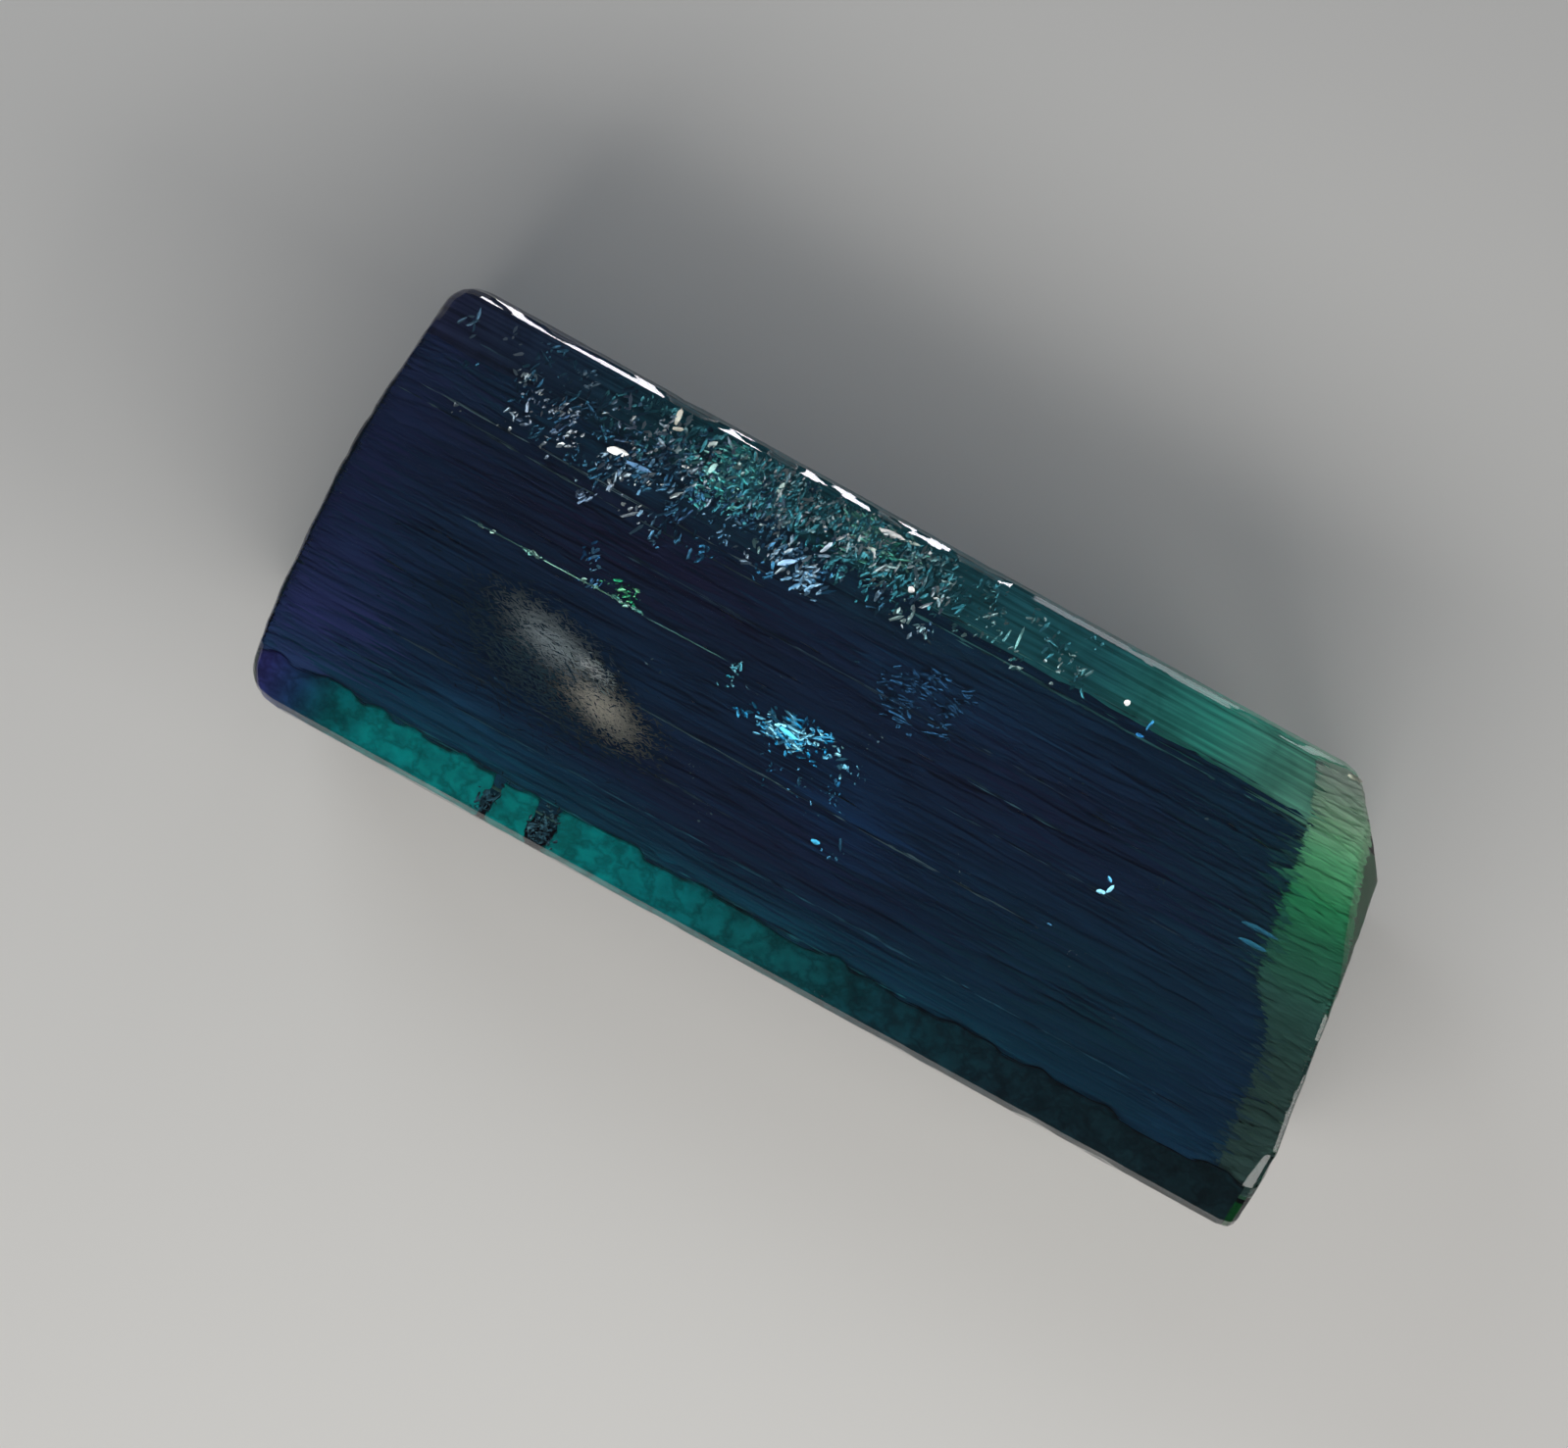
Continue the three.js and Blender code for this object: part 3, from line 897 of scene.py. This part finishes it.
# Matt pale board scatters light evenly, so the floor stays plain and the shadow soft.
floor_material, floor_tree = new_material("matt_pale_board")
board = add_node(floor_tree, "ShaderNodeBsdfPrincipled", {
    "Base Color": linear("#dcdad6"), "Roughness": 0.9})
add_node(floor_tree, "ShaderNodeOutputMaterial", links={"Surface": board.outputs[0]})
floor_mesh.materials.append(floor_material)
floor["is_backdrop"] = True


def soft_light(name, place_mm, size_mm, power, colour):
    """A rectangular soft light that faces the crystal, with its power in watts."""
    light = bpy.data.lights.new(name, "AREA")
    light.shape = "RECTANGLE"
    light.size, light.size_y = size_mm[0] * MM, size_mm[1] * MM
    light.energy = power
    light.color = colour
    lamp = bpy.data.objects.new(name, light)
    lamp.location = Vector(place_mm) * MM
    lamp.rotation_euler = (-lamp.location).to_track_quat("-Z", "Y").to_euler()
    bpy.context.scene.collection.objects.link(lamp)


# Each row: name, place and size in millimetres, power in watts, and linear colour.
LIGHTS = [
    ("key_light", (8, -32, 39), (60, 24), 0.0172, (1.0, 0.985, 0.96)),
    ("left_light", (-60, 36, 56), (34, 34), 0.011, (0.88, 0.95, 1.0)),
    ("right_light", (80, -10, 60), (44, 44), 0.020, (1.0, 0.99, 0.96)),
    ("edge_light", (-9, 88, 10), (22, 10), 0.0105, (0.97, 0.95, 1.0)),
    ("faint_edge_light", (14, 88, 10), (22, 10), 0.0018, (0.97, 0.95, 1.0)),
]
for light_row in LIGHTS:
    soft_light(*light_row)

WORLD_COLOUR = (0.70, 0.80, 1.0, 1)
WORLD_STRENGTH = 0.09
world = bpy.data.worlds.new("studio")
bpy.context.scene.world = world
world.use_nodes = True
world.node_tree.nodes["Background"].inputs["Color"].default_value = WORLD_COLOUR
world.node_tree.nodes["Background"].inputs["Strength"].default_value = WORLD_STRENGTH

PHOTO_WIDTH_PX = 1599
CAMERA_TURN = math.radians(28.8)
LENS_MM = 180.0
SENSOR_MM = 36.0
LOOK_AT_MM = (-0.985, -0.05)
OUTLINE_HEIGHT_MM = 4.5
CLIP_START_M = 0.005
MAX_BOUNCES = 32
camera_data = bpy.data.cameras.new("camera")
camera_data.lens = LENS_MM
camera_data.sensor_width = SENSOR_MM
camera_data.clip_start = CLIP_START_M
camera = bpy.data.objects.new("camera", camera_data)
camera_height = OUTLINE_HEIGHT_MM + PHOTO_WIDTH_PX / PX_PER_MM * LENS_MM / SENSOR_MM
camera.location = Vector((*LOOK_AT_MM, camera_height)) * MM
camera.rotation_euler = (0, 0, CAMERA_TURN)
bpy.context.scene.collection.objects.link(camera)
bpy.context.scene.camera = camera
bpy.context.scene.cycles.max_bounces = MAX_BOUNCES
bpy.context.scene.cycles.transmission_bounces = MAX_BOUNCES
bpy.context.scene.view_settings.view_transform = "Standard"

sizes = {"cad": [list(corner) for corner in cad_bounds], "visual": [list(corner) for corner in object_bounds()]}
